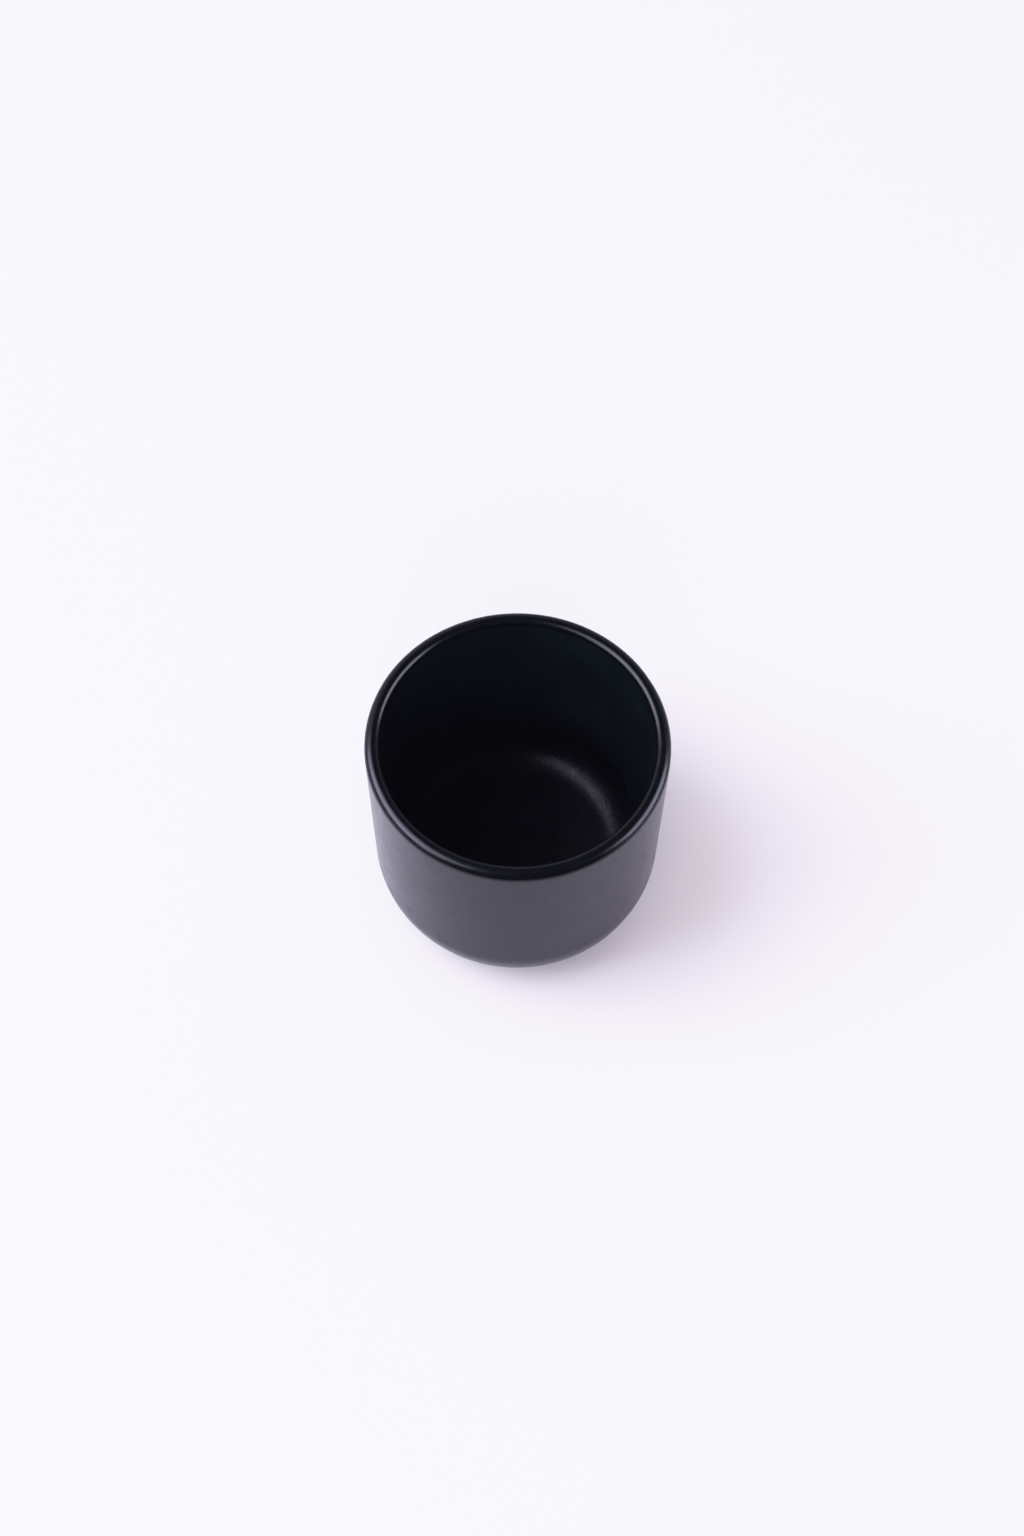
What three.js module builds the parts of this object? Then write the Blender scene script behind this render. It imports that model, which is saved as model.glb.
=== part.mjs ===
// An empty candle jar: a round cup of fired stoneware under a satin black glaze.
// The clay is one piece. The glaze covers it outside, over the rim and inside, and stops
// at a bare foot ring, which the jar stands on. A second patch of glaze fills the recess
// inside that ring. Sizes are in millimetres, +Z is up, and the origin is the middle of
// the foot, on the surface that the jar stands on.

import * as THREE from 'three';

// Driving dimensions
const JAR_RADIUS = 42;
const JAR_HEIGHT = 76;
const WALL_THICKNESS = 4.2;
const WALL_DRAFT = 0.5; // how far both faces of the wall lean in between the rim and the corner
const RIM_OUTER_ROUND = 2.4;
const BASE_THICKNESS = 6;
const INNER_CORNER_RADIUS = 12;
const OUTER_CORNER_REACH = 15;
const OUTER_CORNER_RISE = 19.5;
const FOOT_HEIGHT = 1.6;
const FOOT_RING_WIDTH = 4;
const FOOT_BEVEL = 0.5;
const RECESS_DEPTH = 2;
const GLAZE_THICKNESS = 0.4;

// Facets
const FACETS_AROUND = 60;
const FACETS_PER_RIM_ROUND = 3;
const FACETS_PER_INNER_CORNER = 5;
const FACETS_PER_OUTER_CORNER = 6;

// Places that follow from the driving dimensions
const BORE_RADIUS = JAR_RADIUS - WALL_THICKNESS;
const RIM_INNER_ROUND = WALL_THICKNESS - RIM_OUTER_ROUND;
const FLOOR_HEIGHT = RECESS_DEPTH + BASE_THICKNESS;
const FLOOR_RADIUS = BORE_RADIUS - WALL_DRAFT - INNER_CORNER_RADIUS;
const FOOT_OUTER_RADIUS = JAR_RADIUS - WALL_DRAFT - OUTER_CORNER_REACH;
const FOOT_INNER_RADIUS = FOOT_OUTER_RADIUS - FOOT_RING_WIDTH;
const RECESS_CLAY_HEIGHT = RECESS_DEPTH + GLAZE_THICKNESS;

const clayFinish = new THREE.MeshStandardMaterial({
  color: 0xb9ab97,
  roughness: 0.9,
  metalness: 0,
});

const glazeFinish = new THREE.MeshStandardMaterial({
  color: 0x0b0b0d,
  roughness: 0.3,
  metalness: 0,
});

// Points along a quarter of an ellipse in the (radius, height) plane, both ends included.
function quarterRound(centre, reach, rise, startDegrees, endDegrees, facets) {
  const points = [];
  for (let i = 0; i <= facets; i += 1) {
    const angle = THREE.MathUtils.degToRad(startDegrees + ((endDegrees - startDegrees) * i) / facets);
    points.push(new THREE.Vector2(centre.x + reach * Math.cos(angle), centre.y + rise * Math.sin(angle)));
  }
  return points;
}

// The jar's surface from the shoulder of the foot, up the outside, over the rim and down
// to the middle of the floor. A depth of 0 is the glaze's own face, and a depth of one
// glaze thickness is the clay under it.
function jarSurface(depth) {
  const outerCornerCentre = new THREE.Vector2(FOOT_OUTER_RADIUS, FOOT_HEIGHT + OUTER_CORNER_RISE);
  const rimOuterCentre = new THREE.Vector2(JAR_RADIUS - RIM_OUTER_ROUND, JAR_HEIGHT - RIM_OUTER_ROUND);
  const rimInnerCentre = new THREE.Vector2(BORE_RADIUS + RIM_INNER_ROUND, JAR_HEIGHT - RIM_INNER_ROUND);
  const innerCornerCentre = new THREE.Vector2(FLOOR_RADIUS, FLOOR_HEIGHT + INNER_CORNER_RADIUS);
  const cornerReach = OUTER_CORNER_REACH - depth;
  const cornerRise = OUTER_CORNER_RISE - depth;
  const rimOuter = RIM_OUTER_ROUND - depth;
  const rimInner = RIM_INNER_ROUND - depth;
  const innerCorner = INNER_CORNER_RADIUS + depth;
  return [
    ...quarterRound(outerCornerCentre, cornerReach, cornerRise, -90, 0, FACETS_PER_OUTER_CORNER),
    ...quarterRound(rimOuterCentre, rimOuter, rimOuter, 0, 90, FACETS_PER_RIM_ROUND),
    ...quarterRound(rimInnerCentre, rimInner, rimInner, 90, 180, FACETS_PER_RIM_ROUND).slice(1),
    ...quarterRound(innerCornerCentre, innerCorner, innerCorner, 0, -90, FACETS_PER_INNER_CORNER),
    new THREE.Vector2(0, FLOOR_HEIGHT - depth),
  ];
}

// The underside of the clay, from the middle of the recess out to the foot's shoulder,
// with a point on each side of the ring where a coat of glaze ends against it.
function footSurface() {
  return [
    new THREE.Vector2(0, RECESS_CLAY_HEIGHT),
    new THREE.Vector2(FOOT_INNER_RADIUS, RECESS_CLAY_HEIGHT),
    new THREE.Vector2(FOOT_INNER_RADIUS, RECESS_DEPTH),
    new THREE.Vector2(FOOT_INNER_RADIUS, FOOT_BEVEL),
    new THREE.Vector2(FOOT_INNER_RADIUS + FOOT_BEVEL, 0),
    new THREE.Vector2(FOOT_OUTER_RADIUS - FOOT_BEVEL, 0),
    new THREE.Vector2(FOOT_OUTER_RADIUS, FOOT_BEVEL),
    new THREE.Vector2(FOOT_OUTER_RADIUS, FOOT_HEIGHT),
  ];
}

// Turns a profile about the jar's axis into a named solid.
function turnedPiece(name, profile, material) {
  const geometry = new THREE.LatheGeometry(profile, FACETS_AROUND);
  geometry.rotateX(Math.PI / 2);
  const piece = new THREE.Mesh(geometry, material);
  piece.name = name;
  return piece;
}

// The fired clay: wall, base and the bare foot ring.
function stonewareBody() {
  const profile = [...footSurface(), ...jarSurface(GLAZE_THICKNESS)];
  return turnedPiece('stoneware_body', profile, clayFinish);
}

// The coat of glaze over the outside, the rim and the inside, in one continuous skin.
function glazeCoat() {
  const profile = [...jarSurface(GLAZE_THICKNESS).reverse(), ...jarSurface(0)];
  return turnedPiece('glaze_coat', profile, glazeFinish);
}

// The disc of glaze on the underside, inside the foot ring.
function recessGlaze() {
  const profile = [
    new THREE.Vector2(0, RECESS_DEPTH),
    new THREE.Vector2(FOOT_INNER_RADIUS, RECESS_DEPTH),
    new THREE.Vector2(FOOT_INNER_RADIUS, RECESS_CLAY_HEIGHT),
    new THREE.Vector2(0, RECESS_CLAY_HEIGHT),
  ];
  return turnedPiece('recess_glaze', profile, glazeFinish);
}

const candleJar = new THREE.Group();
candleJar.add(stonewareBody());
candleJar.add(glazeCoat());
candleJar.add(recessGlaze());

export default candleJar;
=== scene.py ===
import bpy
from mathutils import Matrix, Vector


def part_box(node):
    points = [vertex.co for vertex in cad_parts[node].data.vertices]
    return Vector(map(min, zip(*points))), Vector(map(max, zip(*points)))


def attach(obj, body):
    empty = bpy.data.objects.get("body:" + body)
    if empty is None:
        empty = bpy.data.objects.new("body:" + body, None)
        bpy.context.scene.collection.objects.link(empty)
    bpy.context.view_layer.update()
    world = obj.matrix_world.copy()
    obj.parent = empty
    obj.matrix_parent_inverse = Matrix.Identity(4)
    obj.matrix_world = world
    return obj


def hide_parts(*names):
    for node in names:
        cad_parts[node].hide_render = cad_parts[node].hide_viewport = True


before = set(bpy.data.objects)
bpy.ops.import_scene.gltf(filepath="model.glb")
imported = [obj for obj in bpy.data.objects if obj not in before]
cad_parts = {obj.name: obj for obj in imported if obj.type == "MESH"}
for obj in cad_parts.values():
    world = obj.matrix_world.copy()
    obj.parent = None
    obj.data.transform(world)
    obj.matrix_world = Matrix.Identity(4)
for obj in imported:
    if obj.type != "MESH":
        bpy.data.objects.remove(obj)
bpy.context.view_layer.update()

import math

import bmesh
import bpy
from mathutils import Matrix, Vector, noise

MM = 0.001

# Stoneware body
# One cup of fired clay, pressed in a mould and turned at the foot while leather hard. It is
# buff and slightly sandy. Only the foot ring and a narrow band beside it are left bare, so
# that the jar doesn't stick to the kiln shelf, and glaze covers all the rest of it.

glaze_low, glaze_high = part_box("glaze_coat")
_, clay_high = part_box("stoneware_body")
recess_low, recess_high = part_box("recess_glaze")

JAR_RADIUS = glaze_high.x
JAR_HEIGHT = glaze_high.z
GLAZE_THICKNESS = glaze_high.x - clay_high.x
FOOT_HEIGHT = glaze_low.z
RECESS_DEPTH = recess_low.z
FOOT_INNER_RADIUS = recess_high.x
WALL_THICKNESS = 4.2 * MM
WALL_DRAFT = 0.5 * MM
RIM_OUTER_ROUND = 2.4 * MM
RIM_INNER_ROUND = WALL_THICKNESS - RIM_OUTER_ROUND
INNER_CORNER_RADIUS = 12 * MM
OUTER_CORNER_REACH = 15 * MM
OUTER_CORNER_RISE = 19.5 * MM
FLOOR_HEIGHT = 8 * MM
BORE_RADIUS = JAR_RADIUS - WALL_THICKNESS
FLOOR_RADIUS = BORE_RADIUS - WALL_DRAFT - INNER_CORNER_RADIUS
FOOT_OUTER_RADIUS = JAR_RADIUS - WALL_DRAFT - OUTER_CORNER_REACH
FOOT_EDGE_ROUND = 0.6 * MM
FOOT_SHOULDER_ROUND = 0.5 * MM
RECESS_CORNER_ROUND = 0.7 * MM
CLAY_STEPS_AROUND = 600
ON_AXIS = 0.001 * MM


def arc(centre_radius, centre_height, reach, rise, start, end, steps):
    """Points along part of an ellipse in the (radius, height) plane, angles in degrees."""
    points = []
    for i in range(steps + 1):
        angle = math.radians(start + (end - start) * i / steps)
        radius = centre_radius + reach * math.cos(angle)
        points.append((radius, centre_height + rise * math.sin(angle)))
    return points


def line(start, end, steps):
    """Points on a straight stretch, without its two ends."""
    return [
        (start[0] + (end[0] - start[0]) * i / steps, start[1] + (end[1] - start[1]) * i / steps)
        for i in range(1, steps)
    ]


def joined(*stretches):
    """One outline from stretches of points. A number between two stretches is how many steps
    the straight line from one to the other takes."""
    outline = []
    for stretch in stretches:
        if isinstance(stretch, int):
            gap_steps = stretch
            continue
        if outline:
            outline += line(outline[-1], stretch[0], gap_steps)
        outline += stretch
        gap_steps = 1
    return outline


def jar_outline(depth, corner_start, fineness):
    """The jar's face from low on the outside corner, over the rim, to the middle of the floor.
    A depth of 0 is the face of the glaze, and one glaze thickness is the clay under it."""
    outer_corner = arc(
        FOOT_OUTER_RADIUS, FOOT_HEIGHT + OUTER_CORNER_RISE,
        OUTER_CORNER_REACH - depth, OUTER_CORNER_RISE - depth,
        corner_start, 0, 10 * fineness,
    )
    rim_outer = arc(
        JAR_RADIUS - RIM_OUTER_ROUND, JAR_HEIGHT - RIM_OUTER_ROUND,
        RIM_OUTER_ROUND - depth, RIM_OUTER_ROUND - depth, 0, 90, 4 * fineness,
    )
    rim_inner = arc(
        BORE_RADIUS + RIM_INNER_ROUND, JAR_HEIGHT - RIM_INNER_ROUND,
        RIM_INNER_ROUND - depth, RIM_INNER_ROUND - depth, 90, 180, 3 * fineness,
    )
    inner_corner = arc(
        FLOOR_RADIUS, FLOOR_HEIGHT + INNER_CORNER_RADIUS,
        INNER_CORNER_RADIUS + depth, INNER_CORNER_RADIUS + depth, 0, -90, 8 * fineness,
    )
    middle = [(0, FLOOR_HEIGHT - depth)]
    return joined(
        outer_corner, 9 * fineness, rim_outer[:-1], 1, rim_inner, 9 * fineness,
        inner_corner, 4 * fineness, middle,
    )


def turned_mesh(name, outline, around, shaped):
    """A closed body turned about the jar's axis. The outline starts and ends on the axis, and
    shaped moves each point a little from where a perfect turning would put it."""
    body = bmesh.new()
    rings = []
    for index, (radius, height) in enumerate(outline):
        if radius < ON_AXIS:
            rings.append([body.verts.new(shaped(Vector((0, 0, height)), index))])
            continue
        ring = []
        for step in range(around):
            angle = math.tau * step / around
            place = Vector((radius * math.cos(angle), radius * math.sin(angle), height))
            ring.append(body.verts.new(shaped(place, index)))
        rings.append(ring)
    for lower, upper in zip(rings, rings[1:]):
        for step in range(around):
            after = (step + 1) % around
            if len(lower) == 1:
                body.faces.new((lower[0], upper[after], upper[step]))
            elif len(upper) == 1:
                body.faces.new((lower[step], lower[after], upper[0]))
            else:
                body.faces.new((lower[step], lower[after], upper[after], upper[step]))
    for face in body.faces:
        face.smooth = True
    mesh = bpy.data.meshes.new(name)
    body.to_mesh(mesh)
    body.free()
    piece = bpy.data.objects.new(name, mesh)
    bpy.context.scene.collection.objects.link(piece)
    return piece


GLAZE_LINE_RADIUS = FOOT_OUTER_RADIUS + 1.3 * MM
SAND_HEIGHT = 0.03 * MM
SANDY_BELOW = FOOT_HEIGHT + 1.5 * MM
FOOT_FLAT_TOP = 0.02 * MM


def glaze_line_wander(angle):
    """How far the edge of the glaze wanders in or out round the foot, as a sponge leaves it."""
    direction = Vector((math.cos(angle), math.sin(angle), 0))
    return 0.35 * MM * noise.noise(direction * 2.1) + 0.12 * MM * noise.noise(direction * 9)


def sandy_clay(place, index):
    """Bare clay is uneven by a few hundredths of a millimetre: fine sand stands out of it."""
    if place.z > SANDY_BELOW or place.length < ON_AXIS:
        return place
    grain = noise.noise(place / (0.7 * MM)) + 0.6 * noise.noise(place / (0.28 * MM))
    outward = Vector((place.x, place.y, 0)).normalized()
    lift = grain * SAND_HEIGHT
    if place.z < FOOT_FLAT_TOP:
        return place + Vector((0, 0, abs(lift)))
    return place + outward * lift


recess_clay = RECESS_DEPTH + GLAZE_THICKNESS
foot_outline = joined(
    [(0, recess_clay)], 6,
    arc(
        FOOT_INNER_RADIUS - RECESS_CORNER_ROUND, recess_clay - RECESS_CORNER_ROUND,
        RECESS_CORNER_ROUND, RECESS_CORNER_ROUND, 90, 0, 6,
    ), 4,
    arc(
        FOOT_INNER_RADIUS + FOOT_EDGE_ROUND, FOOT_EDGE_ROUND,
        FOOT_EDGE_ROUND, FOOT_EDGE_ROUND, 180, 270, 6,
    ), 10,
    arc(
        FOOT_OUTER_RADIUS - FOOT_EDGE_ROUND, FOOT_EDGE_ROUND,
        FOOT_EDGE_ROUND, FOOT_EDGE_ROUND, 270, 360, 6,
    ), 3,
    arc(
        FOOT_OUTER_RADIUS + FOOT_SHOULDER_ROUND,
        FOOT_HEIGHT + GLAZE_THICKNESS - FOOT_SHOULDER_ROUND,
        FOOT_SHOULDER_ROUND, FOOT_SHOULDER_ROUND, 180, 90, 5,
    ), 6,
)
clay_outline = joined(foot_outline, 1, jar_outline(GLAZE_THICKNESS, -84, 2))
stoneware = turned_mesh("stoneware_clay", clay_outline, CLAY_STEPS_AROUND, sandy_clay)


def new_material(name):
    """A material with only its Principled shader, and what is needed to add nodes to it."""
    material = bpy.data.materials.new(name)
    material.use_nodes = True
    nodes = material.node_tree.nodes
    return material, nodes, material.node_tree.links, nodes["Principled BSDF"]


def new_group(name, inputs, outputs):
    """An empty shader group with named number inputs and outputs of the given kinds."""
    group = bpy.data.node_groups.new(name, "ShaderNodeTree")
    for label, kind, value in inputs:
        socket = group.interface.new_socket(label, in_out="INPUT", socket_type=kind)
        if value is not None:
            socket.default_value = value
    for label, kind in outputs:
        group.interface.new_socket(label, in_out="OUTPUT", socket_type=kind)
    return group, group.nodes.new("NodeGroupInput"), group.nodes.new("NodeGroupOutput")


def add_math(tree, operation, first, second=None, third=None):
    """A math node whose inputs are sockets or numbers. Returns its output."""
    node = tree.nodes.new("ShaderNodeMath")
    node.operation = operation
    for socket, value in zip(node.inputs, (first, second, third)):
        if value is None:
            continue
        if isinstance(value, (int, float)):
            socket.default_value = value
        else:
            tree.links.new(value, socket)
    return node.outputs[0]


def add_noise(tree, vector, scale, detail, roughness=0.5):
    """A noise texture on these coordinates. Returns its value, from 0 to 1."""
    node = tree.nodes.new("ShaderNodeTexNoise")
    node.inputs["Detail"].default_value = detail
    node.inputs["Roughness"].default_value = roughness
    tree.links.new(vector, node.inputs["Vector"])
    if isinstance(scale, (int, float)):
        node.inputs["Scale"].default_value = scale
    else:
        tree.links.new(scale, node.inputs["Scale"])
    return node.outputs["Fac"]


def add_range(tree, value, low, high, new_low=0.0, new_high=1.0):
    """Maps a value from one range to another, held at the ends."""
    node = tree.nodes.new("ShaderNodeMapRange")
    tree.links.new(value, node.inputs["Value"])
    ends = {"From Min": low, "From Max": high, "To Min": new_low, "To Max": new_high}
    for label, number in ends.items():
        if isinstance(number, (int, float)):
            node.inputs[label].default_value = number
        else:
            tree.links.new(number, node.inputs[label])
    return node.outputs["Result"]


def add_colour_mix(tree, amount, first, second):
    """A colour between two, by a value from 0 to 1."""
    node = tree.nodes.new("ShaderNodeMix")
    node.data_type = "RGBA"
    tree.links.new(amount, node.inputs["Factor"])
    for label, colour in (("A", first), ("B", second)):
        socket = next(s for s in node.inputs if s.name == label and s.type == "RGBA")
        if isinstance(colour, tuple):
            socket.default_value = (*colour, 1)
        else:
            tree.links.new(colour, socket)
    return next(s for s in node.outputs if s.type == "RGBA")


# Fine sand and speckle, as in fired clay and uncoated paper. Size is in metres.
grain_group, grain_in, grain_out = new_group(
    "Sandy Grain",
    [("Place", "NodeSocketVector", None), ("Size", "NodeSocketFloat", 0.0006)],
    [("Height", "NodeSocketFloat"), ("Speckle", "NodeSocketFloat")],
)
grain_scale = add_math(grain_group, "DIVIDE", 1.0, grain_in.outputs["Size"])
grain_height = add_noise(grain_group, grain_in.outputs["Place"], grain_scale, 4, 0.65)
speckle_scale = add_math(grain_group, "MULTIPLY", grain_scale, 0.55)
speckle = add_noise(grain_group, grain_in.outputs["Place"], speckle_scale, 2)
grain_group.links.new(grain_height, grain_out.inputs["Height"])
grain_group.links.new(add_range(grain_group, speckle, 0.62, 0.72), grain_out.inputs["Speckle"])


def place_group(nodes, links, group, place, **values):
    """Puts a shader group in a material, on the object's own coordinates."""
    node = nodes.new("ShaderNodeGroup")
    node.node_tree = group
    links.new(place, node.inputs["Place"])
    for label, value in values.items():
        node.inputs[label].default_value = value
    return node


def add_bump(nodes, links, height, distance, normal=None):
    """A bump node of that depth in metres. Returns its normal."""
    node = nodes.new("ShaderNodeBump")
    node.inputs["Distance"].default_value = distance
    links.new(height, node.inputs["Height"])
    if normal is not None:
        links.new(normal, node.inputs["Normal"])
    return node.outputs["Normal"]


PALE_CLAY = (0.47, 0.38, 0.28)
DARKER_CLAY = (0.34, 0.26, 0.18)
IRON_SPECK = (0.12, 0.085, 0.06)
CLAY_STAINS_PER_METRE = 90

clay, clay_nodes, clay_links, clay_shader = new_material("bare_stoneware")
clay_place = clay_nodes.new("ShaderNodeTexCoord").outputs["Object"]
clay_grain = place_group(clay_nodes, clay_links, grain_group, clay_place, Size=0.45 * MM)
clay_stain = add_noise(clay.node_tree, clay_place, CLAY_STAINS_PER_METRE, 3)
clay_stained = add_range(clay.node_tree, clay_stain, 0.35, 0.68)
clay_tone = add_colour_mix(clay.node_tree, clay_stained, PALE_CLAY, DARKER_CLAY)
clay_colour = add_colour_mix(clay.node_tree, clay_grain.outputs["Speckle"], clay_tone, IRON_SPECK)
clay_links.new(clay_colour, clay_shader.inputs["Base Color"])
clay_roughness = add_range(clay.node_tree, clay_grain.outputs["Height"], 0.3, 0.7, 0.78, 0.95)
clay_links.new(clay_roughness, clay_shader.inputs["Roughness"])
clay_normal = add_bump(clay_nodes, clay_links, clay_grain.outputs["Height"], 0.05 * MM)
clay_links.new(clay_normal, clay_shader.inputs["Normal"])
stoneware.data.materials.append(clay)
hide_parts("stoneware_body")
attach(stoneware, "root")

# Glaze coat
# A skin of satin black glaze, poured inside and sprayed outside, then fired. It runs from a
# wavering line beside the foot, over the rim and down across the floor in one piece. Inside,
# above the tide line, it has a lighter, greener tone: the lift is painted light in the shaded
# inside, the green a tint read there. Below the tide line old wax has dulled it.

FOOT_BEAD_ROUND = 0.35 * MM
GLAZE_UNEVENNESS = 0.028 * MM
GLAZE_STEPS_AROUND = 400
EDGE_WANDER_REACH = 3 * MM
EDGE_WANDER_TOP = 4 * MM
PINHOLE_CELLS_PER_METRE = 260
DUST_CELLS_PER_METRE = 420
TONE_CLOUDS_PER_METRE = 55
SATIN_PATCHES_PER_METRE = 240

line_share = (GLAZE_LINE_RADIUS - FOOT_OUTER_RADIUS) / OUTER_CORNER_REACH
line_angle = -math.degrees(math.acos(line_share))
glaze_face = jar_outline(0, line_angle, 4)
glaze_back = jar_outline(GLAZE_THICKNESS, line_angle, 1)
bead = arc(
    glaze_face[0][0], FOOT_HEIGHT + GLAZE_THICKNESS,
    FOOT_BEAD_ROUND, glaze_back[0][1] - glaze_face[0][1], 180, 270, 5,
)
glaze_outline = glaze_back[::-1] + bead[:-1] + glaze_face
glaze_back_rings = len(glaze_back)


def flowed_glaze(place, index):
    """The face of the glaze rises and falls slightly, and its lower edge wanders."""
    radius = math.hypot(place.x, place.y)
    if radius < ON_AXIS:
        return place
    outward = Vector((place.x, place.y, 0)) / radius
    near_line = (GLAZE_LINE_RADIUS + EDGE_WANDER_REACH - radius) / EDGE_WANDER_REACH
    if place.z < EDGE_WANDER_TOP and near_line > 0:
        wander = glaze_line_wander(math.atan2(place.y, place.x))
        place = place + outward * wander * min(1.0, near_line)
    if index < glaze_back_rings:
        return place
    fine_swell = noise.noise(place / (7 * MM) + Vector((3, 1, 7)))
    swell = noise.noise(place / (17 * MM)) + 0.45 * fine_swell
    inward = 1.0 if radius < BORE_RADIUS + RIM_INNER_ROUND else -1.0
    flat = place.z < FLOOR_HEIGHT + 1 * MM and radius < FLOOR_RADIUS + 4 * MM
    if flat and inward > 0:
        return place + Vector((0, 0, swell * GLAZE_UNEVENNESS))
    return place - outward * inward * swell * GLAZE_UNEVENNESS


glaze = turned_mesh("black_glaze_coat", glaze_outline, GLAZE_STEPS_AROUND, flowed_glaze)

# Ripples and pinholes in a melted glaze. Size is the width of a ripple in metres.
peel_group, peel_in, peel_out = new_group(
    "Glaze Ripple",
    [("Place", "NodeSocketVector", None), ("Size", "NodeSocketFloat", 0.002)],
    [("Height", "NodeSocketFloat"), ("Pinhole", "NodeSocketFloat")],
)
peel_scale = add_math(peel_group, "DIVIDE", 1.0, peel_in.outputs["Size"])
ripple = add_noise(peel_group, peel_in.outputs["Place"], peel_scale, 1.5, 0.4)
pinhole_cells = peel_group.nodes.new("ShaderNodeTexVoronoi")
peel_group.links.new(peel_in.outputs["Place"], pinhole_cells.inputs["Vector"])
pinhole_cells.inputs["Scale"].default_value = PINHOLE_CELLS_PER_METRE
pinhole_cells.inputs["Randomness"].default_value = 1
pinhole_chance = peel_group.nodes.new("ShaderNodeSeparateColor")
peel_group.links.new(pinhole_cells.outputs["Color"], pinhole_chance.inputs["Color"])
pinhole_width = add_range(peel_group, pinhole_chance.outputs["Red"], 0.996, 1.0, 0.0, 0.022)
pinhole_edge = add_math(peel_group, "SUBTRACT", pinhole_width, pinhole_cells.outputs["Distance"])
pinhole = add_range(peel_group, pinhole_edge, 0.0, 0.02)
peel_group.links.new(ripple, peel_out.inputs["Height"])
peel_group.links.new(pinhole, peel_out.inputs["Pinhole"])

# Dust and lint that settled on faces that look up: sparse pale specks, a few drawn out.
dust_group, dust_in, dust_out = new_group(
    "Settled Dust",
    [
        ("Place", "NodeSocketVector", None), ("Facing", "NodeSocketVector", None),
        ("Amount", "NodeSocketFloat", 0.5),
    ],
    [("Mask", "NodeSocketFloat")],
)
dust_stretch = dust_group.nodes.new("ShaderNodeVectorMath")
dust_stretch.operation = "MULTIPLY"
dust_stretch.inputs[1].default_value = (1.0, 0.7, 0.55)
dust_group.links.new(dust_in.outputs["Place"], dust_stretch.inputs[0])
dust_cells = dust_group.nodes.new("ShaderNodeTexVoronoi")
dust_group.links.new(dust_stretch.outputs["Vector"], dust_cells.inputs["Vector"])
dust_cells.inputs["Scale"].default_value = DUST_CELLS_PER_METRE
dust_chance = dust_group.nodes.new("ShaderNodeSeparateColor")
dust_group.links.new(dust_cells.outputs["Color"], dust_chance.inputs["Color"])
dust_kept = add_range(dust_group, dust_chance.outputs["Green"], 0.955, 1.0, 0.0, 0.11)
dust_edge = add_math(dust_group, "SUBTRACT", dust_kept, dust_cells.outputs["Distance"])
dust_shape = add_range(dust_group, dust_edge, 0.0, 0.03)
dust_speck = add_math(dust_group, "MULTIPLY", dust_shape, dust_in.outputs["Amount"])
dust_facing = dust_group.nodes.new("ShaderNodeSeparateXYZ")
dust_group.links.new(dust_in.outputs["Facing"], dust_facing.inputs["Vector"])
dust_lies = add_range(dust_group, dust_facing.outputs["Z"], 0.05, 0.45)
dust_mask = add_math(dust_group, "MULTIPLY", dust_speck, dust_lies)
dust_group.links.new(dust_mask, dust_out.inputs["Mask"])


PALE_DUST = (0.16, 0.16, 0.17)
PINHOLE_DEPTH = 0.004 * MM
GLAZE_IOR = 1.255


def glaze_material(name, tones, ripple_size, ripple_depth, roughness, dust_amount, gloss):
    """Satin black glaze between two tones. Its roughness goes from one value to another in
    patches, a waxy glaze has less gloss, and dust shows pale on it."""
    material, nodes, links, shader = new_material(name)
    tree = material.node_tree
    place = nodes.new("ShaderNodeTexCoord").outputs["Object"]
    peel = place_group(nodes, links, peel_group, place, Size=ripple_size)
    dust = place_group(nodes, links, dust_group, place, Amount=dust_amount)
    links.new(nodes.new("ShaderNodeTexCoord").outputs["Normal"], dust.inputs["Facing"])
    cloud = add_noise(tree, place, TONE_CLOUDS_PER_METRE, 2)
    tone = add_colour_mix(tree, add_range(tree, cloud, 0.35, 0.65), *tones)
    colour = add_colour_mix(tree, dust.outputs["Mask"], tone, PALE_DUST)
    links.new(colour, shader.inputs["Base Color"])
    satin = add_noise(tree, place, SATIN_PATCHES_PER_METRE, 3, 0.6)
    sheen = add_range(tree, satin, 0.3, 0.7, *roughness)
    dulled = add_math(tree, "MULTIPLY_ADD", dust.outputs["Mask"], 0.3, sheen)
    links.new(dulled, shader.inputs["Roughness"])
    rippled = add_bump(nodes, links, peel.outputs["Height"], ripple_depth)
    pits = add_math(tree, "MULTIPLY", peel.outputs["Pinhole"], -1.0)
    pitted = add_bump(nodes, links, pits, PINHOLE_DEPTH, rippled)
    links.new(pitted, shader.inputs["Normal"])
    shader.inputs["IOR"].default_value = GLAZE_IOR
    shader.inputs["Specular IOR Level"].default_value = gloss
    return material


# Each finish has two tones, which its surface drifts between.
CLEAN_BLACK = ((0.001, 0.0017, 0.0018), (0.0016, 0.0025, 0.0026))
# The inside's tones are lighter than the clean black. The lift is painted light in the shaded inside,
# and the green is the tint read there.
INSIDE_GREEN_PAINTED_LIGHT = ((0.0025, 0.0058, 0.006), (0.0037, 0.0078, 0.008))
WAXY_BLACK = ((0.0011, 0.0018, 0.0019), (0.002, 0.0028, 0.003))
WAX_TIDE_LINE = 18.5 * MM
LEAST_OUTWARD = 1e-5
INSIDE_PAINTED_LIGHT_SLOT = 1
WAXED_SLOT = 2

clean_glaze = glaze_material(
    "black_glaze", CLEAN_BLACK, 2.2 * MM, 0.012 * MM, (0.22, 0.28), 0.8, 0.5,
)
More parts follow.
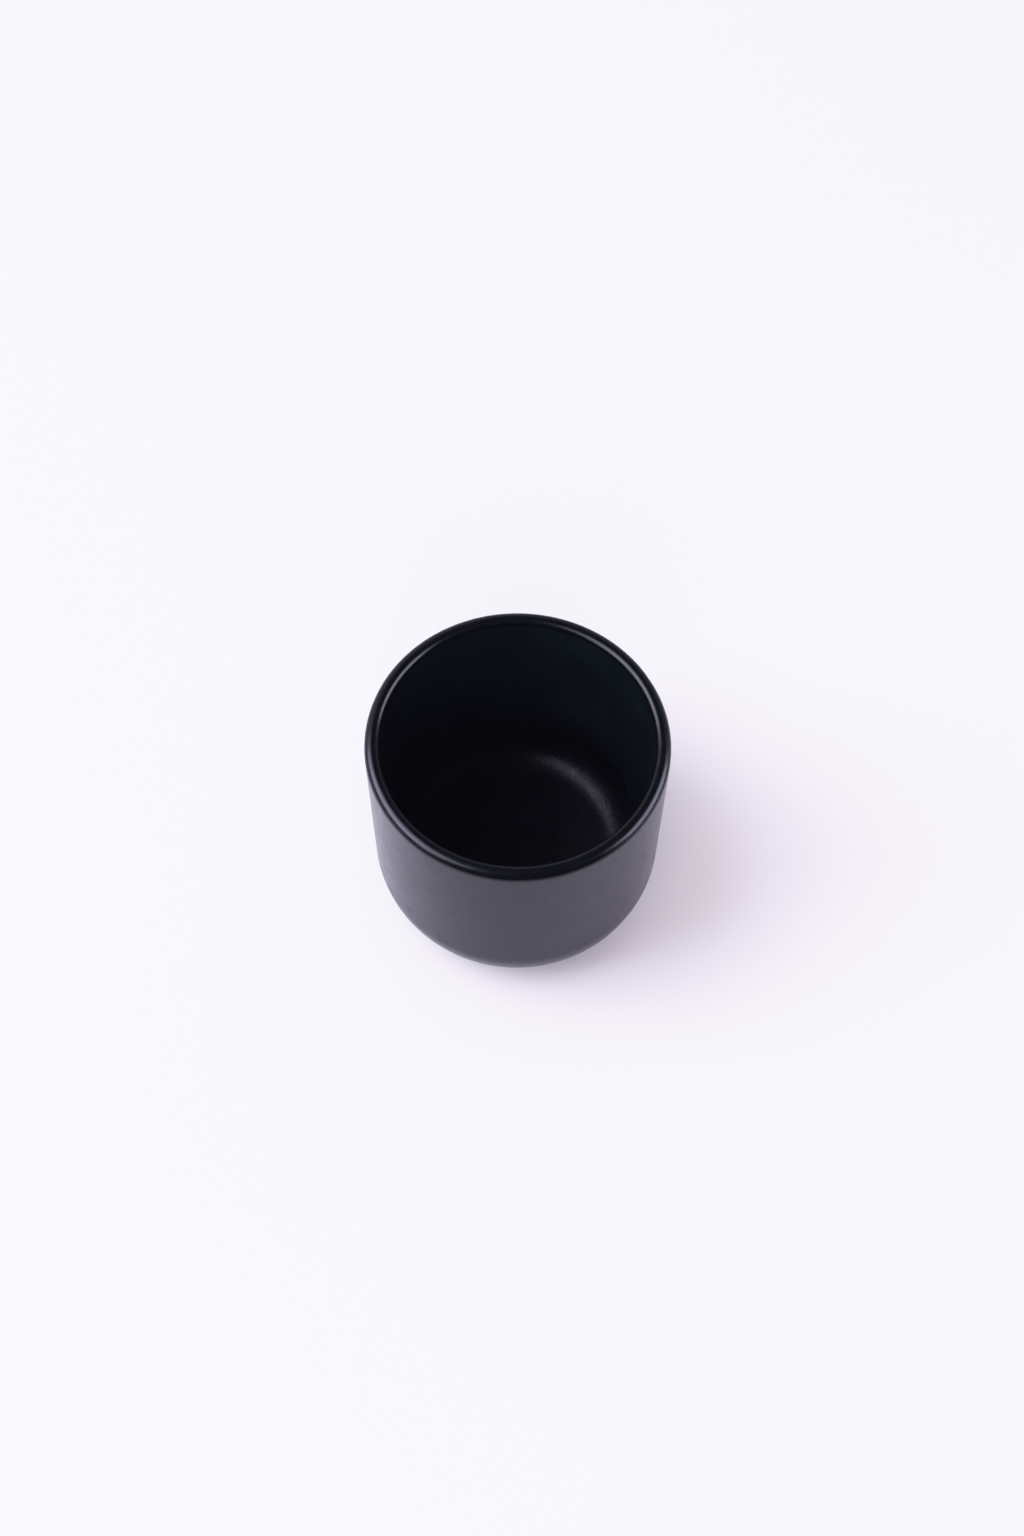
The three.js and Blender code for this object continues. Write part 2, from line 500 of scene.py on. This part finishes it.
# The inside glaze above the tide line, in those lighter tones of painted light.
inside_painted_light_glaze = glaze_material(
    "inside_green_glaze_painted_light", INSIDE_GREEN_PAINTED_LIGHT, 2.2 * MM, 0.012 * MM, (0.22, 0.28), 0.8, 0.5,
)
waxed_glaze = glaze_material(
    "waxed_black_glaze", WAXY_BLACK, 0.8 * MM, 0.065 * MM, (0.26, 0.35), 0.9, 0.29,
)
for finish in (clean_glaze, inside_painted_light_glaze, waxed_glaze):
    glaze.data.materials.append(finish)

# Faces that look in at the axis or straight up, above the glaze's back, are the inside.
for face in glaze.data.polygons:
    middle = face.center
    faces_in = face.normal.dot(Vector((middle.x, middle.y, 0))) < LEAST_OUTWARD
    if not faces_in or middle.z < FLOOR_HEIGHT - 0.2 * MM:
        continue
    wander = 4 * noise.noise(middle / (9 * MM)) + 1.5 * noise.noise(middle / (2 * MM))
    tide = WAX_TIDE_LINE + wander * MM
    if middle.z < tide:
        face.material_index = WAXED_SLOT
    # Up to the rim's inner round, the inside gets the lighter tones of painted light.
    elif middle.z < JAR_HEIGHT - RIM_INNER_ROUND:
        face.material_index = INSIDE_PAINTED_LIGHT_SLOT
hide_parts("glaze_coat")
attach(glaze, "root")

# Recess glaze
# The patch of the same glaze on the underside, inside the foot ring. It was dipped and then
# wiped back at its edge, so it ends in a soft bead a little short of the ring.

RECESS_BEAD_ROUND = 0.4 * MM
RECESS_GAP = 0.9 * MM
RECESS_UNEVENNESS = 0.03 * MM
RECESS_STEPS_AROUND = 240
patch_radius = FOOT_INNER_RADIUS - RECESS_GAP

patch_outline = joined(
    [(0, RECESS_DEPTH)], 14,
    arc(
        patch_radius - RECESS_BEAD_ROUND, recess_clay,
        RECESS_BEAD_ROUND, GLAZE_THICKNESS, -90, 0, 6,
    ), 4,
    [(0, recess_clay)],
)


def wiped_glaze(place, index):
    """The patch's edge wavers, and its face sags slightly as it cooled."""
    radius = math.hypot(place.x, place.y)
    if radius < ON_AXIS:
        return place
    outward = Vector((place.x, place.y, 0)) / radius
    edge = max(0.0, radius / patch_radius - 0.75) * 4
    wander = glaze_line_wander(math.atan2(place.y, place.x) + 2)
    place = place + outward * wander * edge
    if place.z > recess_clay - 0.01 * MM:
        return place
    return place + Vector((0, 0, RECESS_UNEVENNESS * noise.noise(place / (6 * MM))))


patch = turned_mesh("recess_glaze_patch", patch_outline, RECESS_STEPS_AROUND, wiped_glaze)
underside_glaze = glaze_material(
    "black_glaze_underside", CLEAN_BLACK, 1.6 * MM, 0.012 * MM, (0.34, 0.42), 0.25, 0.5,
)
patch.data.materials.append(underside_glaze)
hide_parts("recess_glaze")
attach(patch, "root")

# Floor
# A sheet of smooth white paper with a fine tooth. It ends a little way in front of the jar.

FLOOR_REACH = 0.9
PAPER_SHADE = (0.868, 0.866, 0.875)
PAPER_WHITE = (0.882, 0.88, 0.89)
FLOOR_FRONT_EDGE = -0.21

floor_mesh = bpy.data.meshes.new("paper_floor")
floor_shape = bmesh.new()
bmesh.ops.create_grid(floor_shape, x_segments=8, y_segments=8, size=FLOOR_REACH)
for corner in floor_shape.verts:
    share_back = (corner.co.y + FLOOR_REACH) / (2 * FLOOR_REACH)
    corner.co.y = FLOOR_FRONT_EDGE + share_back * (FLOOR_REACH - FLOOR_FRONT_EDGE)
floor_shape.to_mesh(floor_mesh)
floor_shape.free()
floor = bpy.data.objects.new("paper_floor", floor_mesh)
bpy.context.scene.collection.objects.link(floor)
paper, paper_nodes, paper_links, paper_shader = new_material("white_paper")
paper_place = paper_nodes.new("ShaderNodeTexCoord").outputs["Object"]
paper_grain = place_group(paper_nodes, paper_links, grain_group, paper_place, Size=0.8 * MM)
paper_colour = add_colour_mix(
    paper.node_tree, paper_grain.outputs["Height"], PAPER_SHADE, PAPER_WHITE,
)
paper_links.new(paper_colour, paper_shader.inputs["Base Color"])
paper_shader.inputs["Roughness"].default_value = 0.9
paper_shader.inputs["Specular IOR Level"].default_value = 0.1
floor_mesh.materials.append(paper)

# Studio light
# Two large softboxes, the wider one on the left, in a dim room with a pale backdrop behind
# the jar. They show in the glaze, while a key light, a ceiling panel and a front fill light
# the matt surfaces. The view then rolls off its highlights and tints its paler tones.

ROOM_GLOW = (0.045, 0.044, 0.045)
BACKDROP_RIGHT_GLOW = (0.6, 0.61, 0.72)
BACKDROP_LEFT_GLOW = (1.05, 1.09, 1.27)
BACKDROP_TOP = math.radians(50)
WALL_GLOW = (1.3, 1.29, 1.5)
ROLL_OFF = (
    (0.3, 0.3), (0.5, 0.5), (0.7, 0.69), (0.85, 0.815), (1.0, 0.9),
    (1.15, 0.93), (1.3, 0.945), (1.46, 0.975), (1.8, 0.995),
)
WHITE_LEVEL = 2.0
HAZE = (0.0018, 0.0016, 0.0029)
GREEN_TINT = (
    (0.1, 0.097), (0.3, 0.291), (0.395, 0.379), (0.444, 0.422),
    (0.505, 0.472), (0.573, 0.552), (0.64, 0.622), (0.8, 0.79),
)
BLUE_TINT = (
    (0.1, 0.107), (0.2, 0.208), (0.34, 0.333), (0.39, 0.38), (0.45, 0.447),
    (0.51, 0.514), (0.58, 0.615), (0.66, 0.715), (0.75, 0.765),
)
COOL = (0.83, 0.83, 1.0)
PINKISH = (0.97, 0.885, 1.0)


def softbox(name, azimuth, elevation, distance, width, height, glow, colour, glossy):
    """A rectangle of light aimed at the jar. Azimuth is 0 in front of the jar and 90 on its
    right, and glow is the brightness of its face. It lights glossy surfaces or matt ones."""
    lamp = bpy.data.lights.new(name, "AREA")
    lamp.shape = "RECTANGLE"
    lamp.size = width
    lamp.size_y = height
    lamp.energy = glow * math.pi * width * height
    lamp.color = colour
    box = bpy.data.objects.new(name, lamp)
    turn, tilt = math.radians(azimuth), math.radians(elevation)
    level = Vector((math.sin(turn), -math.cos(turn), 0))
    towards = level * math.cos(tilt) + Vector((0, 0, math.sin(tilt)))
    box.location = Vector((0, 0, JAR_HEIGHT)) + towards * distance
    box.rotation_mode = "QUATERNION"
    box.rotation_quaternion = towards.to_track_quat("Z", "Y")
    box.visible_glossy = glossy
    box.visible_diffuse = not glossy
    bpy.context.scene.collection.objects.link(box)


softbox("left_softbox", -82, 39, 2.2, 2.9, 2.1, 9.8, COOL, True)
softbox("left_softbox_middle", -88, 35, 2.1, 1.7, 1.1, 9.0, COOL, True)
softbox("right_softbox", 88, 23, 2.2, 1.8, 1.5, 15.0, COOL, True)
softbox("key_light", -87, 43, 2.1, 1.5, 2.8, 4.8, (0.8, 0.86, 1.0), False)
softbox("ceiling_panel", 0, 88, 2.2, 5.0, 5.0, 0.8, PINKISH, False)
softbox("front_fill", 0, 24, 2.2, 2.4, 1.4, 3.4, PINKISH, False)

world = bpy.data.worlds.new("studio")
bpy.context.scene.world = world
world.use_nodes = True
sky = world.node_tree
room = sky.nodes["Background"]
way = sky.nodes.new("ShaderNodeSeparateXYZ")
sky.links.new(sky.nodes.new("ShaderNodeTexCoord").outputs["Generated"], way.inputs["Vector"])
low_enough = add_range(sky, way.outputs["Z"], math.sin(BACKDROP_TOP), math.sin(BACKDROP_TOP) * 0.8)
far_enough = add_range(sky, way.outputs["Y"], 0.3, 0.6)
backdrop_part = add_math(sky, "MULTIPLY", low_enough, far_enough)
to_left = add_range(sky, way.outputs["X"], 0.5, -0.5)
backdrop = add_colour_mix(sky, to_left, BACKDROP_RIGHT_GLOW, BACKDROP_LEFT_GLOW)
around_jar = add_colour_mix(sky, backdrop_part, ROOM_GLOW, backdrop)
ray = sky.nodes.new("ShaderNodeLightPath")
surroundings = add_colour_mix(sky, ray.outputs["Is Camera Ray"], around_jar, WALL_GLOW)
sky.links.new(surroundings, room.inputs["Color"])
view = bpy.context.scene.view_settings
view.view_transform = "Standard"
view.use_curve_mapping = True
view.curve_mapping.white_level = (WHITE_LEVEL, WHITE_LEVEL, WHITE_LEVEL)
view.curve_mapping.black_level = tuple(-haze for haze in HAZE)
roll_off = view.curve_mapping.curves[3]
for light, shown in ROLL_OFF:
    roll_off.points.new(light / WHITE_LEVEL, shown)
for channel, tint in ((1, GREEN_TINT), (2, BLUE_TINT)):
    for plain, tinted in tint:
        view.curve_mapping.curves[channel].points.new(plain, tinted)
view.curve_mapping.update()

# Camera
# A 50 mm lens over half a metre away, looking down steeply at the front of the rim.

CAMERA_TILT_DOWN = math.radians(61.2)
CAMERA_ROLL = math.radians(0.61)
CAMERA_DISTANCE = 581.5 * MM
AIM_LEFT_OF_AXIS = 1.6 * MM
AIM_BELOW_CENTRE = 7.8 * MM

ahead = Vector((0, math.cos(CAMERA_TILT_DOWN), -math.sin(CAMERA_TILT_DOWN)))
level_up = Vector((0, math.sin(CAMERA_TILT_DOWN), math.cos(CAMERA_TILT_DOWN)))
level_right = Vector((1, 0, 0))
right = level_right * math.cos(CAMERA_ROLL) + level_up * math.sin(CAMERA_ROLL)
up = level_up * math.cos(CAMERA_ROLL) - level_right * math.sin(CAMERA_ROLL)
rim_centre = Vector((0, 0, JAR_HEIGHT))
camera_data = bpy.data.cameras.new("camera")
camera_data.lens = 50
camera_data.sensor_width = 36
camera = bpy.data.objects.new("camera", camera_data)
bpy.context.scene.collection.objects.link(camera)
camera.location = rim_centre - right * AIM_LEFT_OF_AXIS - up * AIM_BELOW_CENTRE - ahead * CAMERA_DISTANCE
camera.rotation_mode = "QUATERNION"
camera.rotation_quaternion = Matrix((right, up, -ahead)).transposed().to_quaternion()
bpy.context.scene.camera = camera
